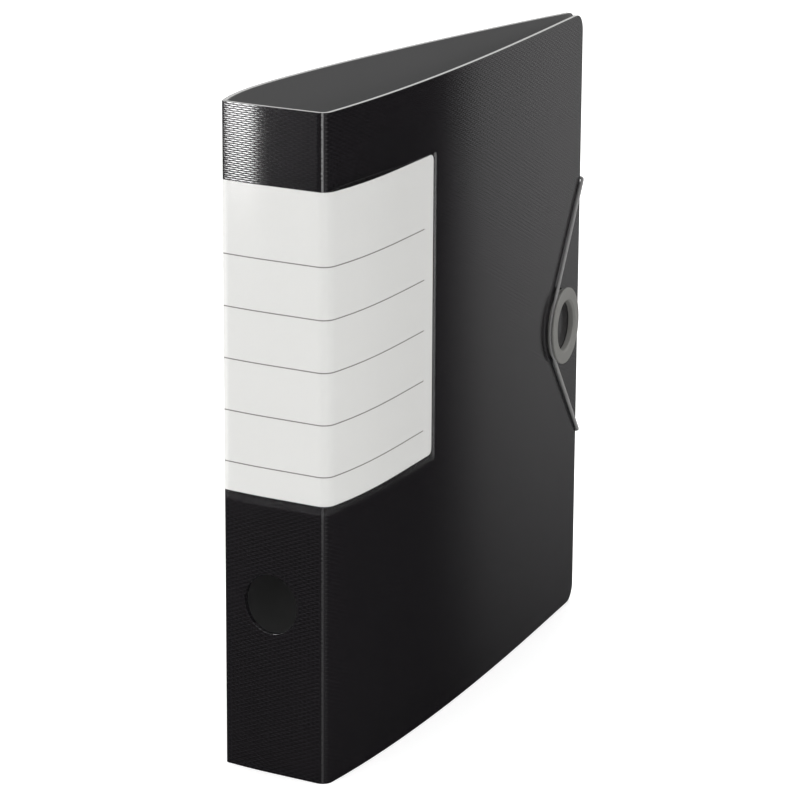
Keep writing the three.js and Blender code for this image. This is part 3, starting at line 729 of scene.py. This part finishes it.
def label_pocket():
    """The film is welded to the sheet along three sides and open at the top, and passes over the card."""
    start, end, bottom, top = layer_place("label_pocket")
    card_end = layer_place("label_card")[1]

    def over_card(u, depth, z):
        from_weld = min(u - start, end - u, z - bottom) - FILM_WELD
        rise = (FILM_LIFT + card_bulge(u, card_end)) * smooth(from_weld / FILM_SLOPE)
        return wrapped(u, depth - FILM_THICKNESS - 0.01 * MM - rise, z)

    outline = layer_outline(start, end, bottom, top, CARD_CORNER)
    steps = [FILM_WELD + FILM_SLOPE * i / 3 for i in range(4)]
    lines = layer_lines(start, end) + [start + s for s in steps] + [end - s for s in steps]
    flat = die_cut(outline, [], FILM_THICKNESS, 0.04 * MM, lines, [bottom + s for s in steps])
    piece = wrap("label_pocket_film", flat, FILM_THICKNESS, film_material(), over_card)
    bend_layer(piece)
    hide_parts("label_pocket")


# ---------------------------------------------------------------- elastic closure

RING_CENTRE = (middle("closure_ring") + middle("closure_backing_ring")) / 2
RING_U = OUTLINE.nearest(RING_CENTRE.x, RING_CENTRE.y)
RING_OUTER = (high("closure_ring").z - low("closure_ring").z) / 2
RING_HOLE = 13.0 * MM
RING_GROOVE = 17.3 * MM
RING_TOP = 3.8 * MM
RING_FLANGE = 1.2 * MM
STUD_COUNT = 4
STUD_CIRCLE = 15.2 * MM
ELASTIC_RADIUS = middle("elastic_eyelet_lower").z - low("elastic_cord").z
ELASTIC_CLEAR = ELASTIC_RADIUS + 0.1 * MM


def closure_ring():
    flange = RING_TOP - RING_FLANGE
    foot = RING_OUTER - MM
    profile = [
        (RING_HOLE, 0.1 * MM), (foot, 0.1 * MM), (foot, 0.5 * MM), (RING_GROOVE, 0.6 * MM),
        (RING_GROOVE, flange), (RING_OUTER, flange), (RING_OUTER, RING_TOP - 0.25 * MM),
        (RING_OUTER - 0.5 * MM, RING_TOP), (RING_HOLE + 0.9 * MM, RING_TOP), (RING_HOLE, RING_TOP - 0.9 * MM),
    ]
    centre = wrapped(RING_U, 0, RING_CENTRE.z)
    ring = lathe("closure_ring_moulded", softened(profile, 0.25 * MM, closed=True), centre, outward(RING_U),
                 GREY_PLASTIC, closed=True, segments=96)
    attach(ring, "front_cover")
    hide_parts("closure_ring")


def closure_studs():
    """The ring's studs pass through the cover and are headed over on the backing ring."""
    end = -SHEET - 1.5 * MM
    profile = [(0, end), (0.9 * MM, end + 0.1 * MM), (1.35 * MM, end + 0.5 * MM), (1.4 * MM, MM), (0, MM)]
    across = Vector((0, 0, 1)).cross(outward(RING_U))
    for i in range(STUD_COUNT):
        angle = math.radians(45 + 360 * i / STUD_COUNT)
        offset = STUD_CIRCLE * (across * math.cos(angle) + Vector((0, 0, math.sin(angle))))
        centre = wrapped(RING_U, 0, RING_CENTRE.z) + offset
        stud = lathe(f"closure_stud_{i + 1}", softened(profile, 0.2 * MM), centre, outward(RING_U),
                     GREY_PLASTIC, segments=24)
        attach(stud, "front_cover")


def eyelet_u():
    spot = middle("elastic_eyelet_upper")
    return OUTLINE.nearest(spot.x, spot.y)


def eyelets():
    inside = -SHEET
    bore = 1.35 * MM
    profile = [
        (bore, inside - 0.7 * MM), (3.9 * MM, inside - 0.6 * MM), (3.9 * MM, inside - 0.1 * MM),
        (2.4 * MM, inside), (2.4 * MM, 0.05 * MM), (4.0 * MM, 0.1 * MM), (3.8 * MM, 0.6 * MM),
        (2.6 * MM, 0.9 * MM), (bore + 0.3 * MM, 0.75 * MM), (bore, 0.3 * MM),
    ]
    for place in ("upper", "lower"):
        node = f"elastic_eyelet_{place}"
        centre = wrapped(eyelet_u(), 0, middle(node).z)
        piece = lathe(f"{node}_rolled", softened(profile, 0.35 * MM, closed=True), centre,
                      outward(eyelet_u()), NICKEL_STEEL, closed=True, segments=48)
        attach(piece, "back_cover")
        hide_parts(node)


def anchor_corners(z):
    """The elastic's corners from inside the back cover, out of its eyelet and across both fore-edges."""
    return [
        wrapped(eyelet_u(), SHEET + 0.4 * MM, z),
        wrapped(eyelet_u(), -2.4 * MM, z),
        wrapped(-ELASTIC_CLEAR, -ELASTIC_CLEAR - 0.1 * MM, z),
        wrapped(OUTLINE.length + ELASTIC_CLEAR, -ELASTIC_CLEAR - 0.1 * MM, z),
    ]


def ring_turn(upper, lower):
    """Points round the closure ring's groove, from the upper strand's tangent point to the lower one's."""
    loop = RING_GROOVE + ELASTIC_CLEAR + 0.7 * MM
    height = ELASTIC_RADIUS + 0.6 * MM
    along = Vector((0, 0, 1)).cross(outward(RING_U))
    centre = wrapped(RING_U, 0, RING_CENTRE.z) + outward(RING_U) * height
    reach = OUTLINE.length + ELASTIC_CLEAR - RING_U
    tangents = []
    for z, side in ((upper, 1), (lower, -1)):
        rise = z - RING_CENTRE.z
        tangents.append(math.atan2(rise, reach) + side * math.acos(loop / math.hypot(reach, rise)))
    start, end = tangents[0], tangents[1] + 2 * math.pi
    angles = [start + (end - start) * i / 32 for i in range(33)]
    return [centre + loop * (along * math.cos(a) + Vector((0, 0, math.sin(a)))) for a in angles]


def elastic():
    """Two anchored ends that stay on the back cover, and the loop over the front cover and its ring."""
    material = elastic_material(ELASTIC_RADIUS)
    heights = [middle(f"elastic_eyelet_{place}").z for place in ("upper", "lower")]
    gap_middles = []
    for place, z in zip(("upper", "lower"), heights):
        corners = anchor_corners(z)
        across = (corners[2] + corners[3]) / 2
        gap_middles.append(across)
        path = fine_path(rounded_path([*corners[:3], across], 1.4 * MM), 1.5 * MM)
        end = tube(f"elastic_anchor_{place}", path, ELASTIC_RADIUS, material)
        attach(end, "back_cover")
    turn = ring_turn(*heights)
    down = rounded_path([gap_middles[0], anchor_corners(heights[0])[3], turn[0]], 1.4 * MM)[:-1]
    up = rounded_path([gap_middles[1], anchor_corners(heights[1])[3], turn[-1]], 1.4 * MM)[:-1]
    path = fine_path(down + turn + up[::-1], 2.0 * MM)
    loop = tube("elastic_loop", path, ELASTIC_RADIUS, material)
    fore_edge = sum(gap_middles, Vector()) / 2
    pull = wrapped(RING_U, 0, fore_edge.z) - fore_edge
    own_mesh(loop)
    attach(loop, "back_cover")
    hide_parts("elastic_cord")


# ---------------------------------------------------------------- lever arch mechanism

AXLE = joint_place("bow_swing")
WIRE_RADIUS = high("arch_bow").y - middle("post_upper").y
PLATE_TOP = high("base_plate").x
MID_Z = middle("base_plate").z


def dress(node, material, bevel=0.25 * MM):
    """A CAD node that keeps its shape, with softened edges and a finished material."""
    piece = frame["nodes"][node]
    piece.data.materials[0] = material
    piece.data.shade_smooth()
    piece.modifiers.new("weld", "WELD").merge_threshold = 1e-6
    edges = piece.modifiers.new("edges", "BEVEL")
    edges.width = bevel
    edges.segments = 2
    edges.limit_method = "ANGLE"
    edges.angle_limit = math.radians(40)
    piece.modifiers.new("normals", "WEIGHTED_NORMAL").keep_sharp = True


def rivets():
    for i in range(1, 5):
        node = f"rivet_{i}"
        centre = middle(node)
        outside = low(node).x - centre.x
        inside = high(node).x - centre.x
        dome = arc((0, outside + 4.5 * MM), 4.5 * MM, -90, -35, 8)
        dome = [(x * 1.22, outside + (y - outside) * 0.74) for x, y in dome]
        profile = dome + [
            (4.4 * MM, outside + 1.4 * MM), (2.0 * MM, outside + 1.4 * MM), (2.0 * MM, inside - MM),
            (3.8 * MM, inside - MM), (3.8 * MM, inside - 0.5 * MM), (3.3 * MM, inside), (0.9 * MM, inside),
            (0.8 * MM, inside - 0.5 * MM), (0, inside - 0.5 * MM),
        ]
        piece = lathe(f"{node}_head", softened(profile, 0.15 * MM), centre, Vector((1, 0, 0)), NICKEL_STEEL,
                      segments=48)
        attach(piece, "back_cover")
        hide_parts(node)


def posts():
    for place in ("upper", "lower"):
        node = f"post_{place}"
        base = Vector((low(node).x, middle(node).y, middle(node).z))
        top = high(node).x - base.x
        foot = (high(node).y - low(node).y) / 2
        radius = 3.0 * MM
        profile = [
            (0, 0), (foot, 0), (foot, 0.9 * MM), (foot - 0.5 * MM, 1.3 * MM), (radius + 0.4 * MM, 1.8 * MM),
            (radius, 2.8 * MM), (radius, top - 1.6 * MM), (radius - 0.25 * MM, top - 0.8 * MM),
            (radius - 0.8 * MM, top), (radius - 1.3 * MM, top), (radius - 1.4 * MM, top - 1.2 * MM),
            (0, top - 1.2 * MM),
        ]
        piece = lathe(f"{node}_turned", softened(profile, 0.3 * MM), base, Vector((1, 0, 0)), NICKEL_STEEL)
        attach(piece, "back_cover")
        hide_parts(node)


CRANK_REACH = 9 * MM
CRANK_RISE = 1 * MM
CRANK_TOP = 8 * MM
CRANK_BOTTOM = -10 * MM


def arch_bow():
    """One bent wire: two arches over the posts, their shared axle and the crank under the lever's roller."""
    post_y = middle("post_upper").y
    half = middle("post_upper").z - MID_Z
    radius = (post_y - AXLE.y) / 2
    leg_top = high("arch_bow").x - WIRE_RADIUS - radius

    def arch(z):
        tip = Vector((high("post_upper").x + 0.5 * MM, post_y, MID_Z + z))
        bend = [Vector((leg_top + radius * math.sin(a), AXLE.y + radius + radius * math.cos(a), MID_Z + z))
                for a in [math.pi * i / 24 for i in range(25)]]
        return [tip, *bend]

    def axle(z):
        return Vector((AXLE.x, AXLE.y, MID_Z + z))

    def crank(z):
        return Vector((AXLE.x + CRANK_RISE, AXLE.y + CRANK_REACH, MID_Z + z))

    upper, lower = arch(half), arch(-half)[::-1]
    bottom = [upper[-1], axle(half), axle(CRANK_TOP), crank(CRANK_TOP), crank(CRANK_BOTTOM),
              axle(CRANK_BOTTOM), axle(-half), lower[0]]
    path = upper[:-1] + rounded_path(bottom, 4 * MM) + lower[1:]
    piece = tube("arch_bow_wire", path, WIRE_RADIUS, NICKEL_STEEL, sides=24)
    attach(piece, "bow")
    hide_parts("arch_bow")


SPRING_TURNS = 5
SPRING_WIRE = 0.55 * MM
SPRING_START = -26 * MM
SPRING_LENGTH = 12 * MM


def bow_spring():
    """A torsion spring round the axle, with one leg that lies on the plate."""
    coil = WIRE_RADIUS + 1.0 * MM
    path = [Vector((PLATE_TOP + 0.9 * MM, AXLE.y - 9 * MM, MID_Z + SPRING_START))]
    steps = SPRING_TURNS * 24
    for i in range(steps + 1):
        angle = math.pi + i / 24 * 2 * math.pi
        place = Vector((math.cos(angle), math.sin(angle), 0)) * coil
        path.append(Vector((AXLE.x, AXLE.y, MID_Z + SPRING_START + SPRING_LENGTH * i / steps)) + place)
    piece = tube("bow_spring_coil", path, SPRING_WIRE, ZINC_STEEL, sides=12)
    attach(piece, "back_cover")
    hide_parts("bow_spring")


def plain_mechanism():
    for node in ("base_plate", "bow_bearing_upper", "bow_bearing_lower", "lever_bracket", "compressor_bar"):
        dress(node, ZINC_STEEL)
    for node in ("lever", "lever_pin", "roller_pin"):
        dress(node, NICKEL_STEEL)
    for node in ("lever_grip", "lever_roller", "compressor_catch"):
        dress(node, BLACK_PLASTIC, 0.5 * MM)
    for place in ("upper", "lower"):
        dress(f"elastic_stop_{place}", BLACK_PLASTIC)
    dress("closure_backing_ring", GREY_PLASTIC)


# ---------------------------------------------------------------- studio

CAMERA_PLACE = (0.8547, -1.4929, 0.6229)
CAMERA_TURN = 30.31
CAMERA_PITCH = 15.5
CAMERA_ROLL = 0.33
CAMERA_LENS = 162.35


def camera():
    data = bpy.data.cameras.new("camera")
    data.lens = CAMERA_LENS
    data.sensor_width = 36
    piece = bpy.data.objects.new("camera", data)
    piece.location = CAMERA_PLACE
    turn = Matrix.Rotation(math.radians(CAMERA_TURN), 3, "Z") @ Matrix.Rotation(
        math.radians(90 - CAMERA_PITCH), 3, "X") @ Matrix.Rotation(math.radians(CAMERA_ROLL), 3, "Z")
    piece.rotation_euler = turn.to_euler()
    SCENE.collection.objects.link(piece)
    SCENE.camera = piece


def floor():
    bm = bmesh.new()
    bmesh.ops.create_grid(bm, x_segments=8, y_segments=8, size=8.0)
    mesh = bpy.data.meshes.new("floor")
    bm.to_mesh(mesh)
    bm.free()
    mesh.materials.append(floor_material())
    piece = bpy.data.objects.new("floor", mesh)
    SCENE.collection.objects.link(piece)
    piece.visible_glossy = False
    piece.visible_shadow = False


def sky():
    """A white sky overhead, dark near the horizon and under it, where upright black faces mirror it."""
    world = bpy.data.worlds.new("studio")
    SCENE.world = world
    world.use_nodes = True
    nodes, links = world.node_tree.nodes, world.node_tree.links
    place = nodes.new("ShaderNodeTexCoord")
    split = nodes.new("ShaderNodeSeparateXYZ")
    fade = nodes.new("ShaderNodeMapRange")
    fade.inputs["From Min"].default_value = 0.08
    fade.inputs["From Max"].default_value = 0.4
    links.new(place.outputs["Generated"], split.inputs[0])
    links.new(split.outputs["Z"], fade.inputs["Value"])
    links.new(fade.outputs[0], nodes["Background"].inputs["Color"])
    nodes["Background"].inputs["Strength"].default_value = 0.95


def softbox(name, place, target, width, height, watts):
    data = bpy.data.lights.new(name, "AREA")
    data.shape = "RECTANGLE"
    data.size = width
    data.size_y = height
    data.energy = watts
    piece = bpy.data.objects.new(name, data)
    piece.location = place
    piece.rotation_euler = (Vector(target) - Vector(place)).to_track_quat("-Z", "Y").to_euler()
    piece.visible_camera = False
    SCENE.collection.objects.link(piece)


def card(name, place, target, width, height, brightness, fade):
    """A glowing card that shows only in glossy surfaces, and fades out over the given share at its bottom."""
    glow = Shader(name, (0, 0, 0), 1.0)
    spot = glow.node("ShaderNodeSeparateXYZ", {0: glow.node("ShaderNodeTexCoord").outputs["Generated"]})
    strength = glow.ramp(spot.outputs[1], 0.0, fade, 0.0, brightness)
    emit = glow.node("ShaderNodeEmission", {"Color": (1.0, 1.0, 1.0), "Strength": strength})
    glow.join(glow.nodes["Material Output"].inputs["Surface"], emit.outputs[0])
    mesh = bpy.data.meshes.new(name)
    corners = [(x * width / 2, y * height / 2, 0) for x, y in ((-1, -1), (1, -1), (1, 1), (-1, 1))]
    mesh.from_pydata(corners, [], [(0, 1, 2, 3)])
    mesh.materials.append(glow.material)
    piece = bpy.data.objects.new(name, mesh)
    piece.location = place
    piece.rotation_euler = (Vector(target) - Vector(place)).to_track_quat("Z", "Y").to_euler()
    SCENE.collection.objects.link(piece)
    for ray in ("camera", "diffuse", "shadow", "transmission", "volume_scatter"):
        setattr(piece, f"visible_{ray}", False)


def lights():
    softbox("overhead", (0.0, 0.2, 2.4), (0, 0, 0), 3.0, 3.0, 38)
    softbox("key", (-1.3, -2.2, 1.6), (0, 0, 0.15), 0.9, 0.9, 6)
    card("strip_card", (-0.973, -1.302, 0.38), (-0.015, -0.152, 0.38), 0.22, 0.80, 26.0, 0.08)
    card("side_card", (-0.01, 1.2, 0.0), (-0.01, 0.0, 0.0), 0.8, 1.2, 0.42, 0.6)
    card("left_card", (-1.1, -0.5, -0.1), (0.0, 0.0, -0.1), 0.9, 1.2, 0.35, 0.6)
    card("right_card", (0.85, -0.85, -0.1), (0.0, 0.0, -0.1), 0.9, 1.2, 0.35, 0.6)


spine_and_front_cover()
back_cover()
label_card()
label_pocket()
closure_ring()
closure_studs()
eyelets()
elastic()
rivets()
posts()
arch_bow()
bow_spring()
plain_mechanism()
floor()
sky()
lights()
camera()
SCENE.view_settings.view_transform = "Standard"
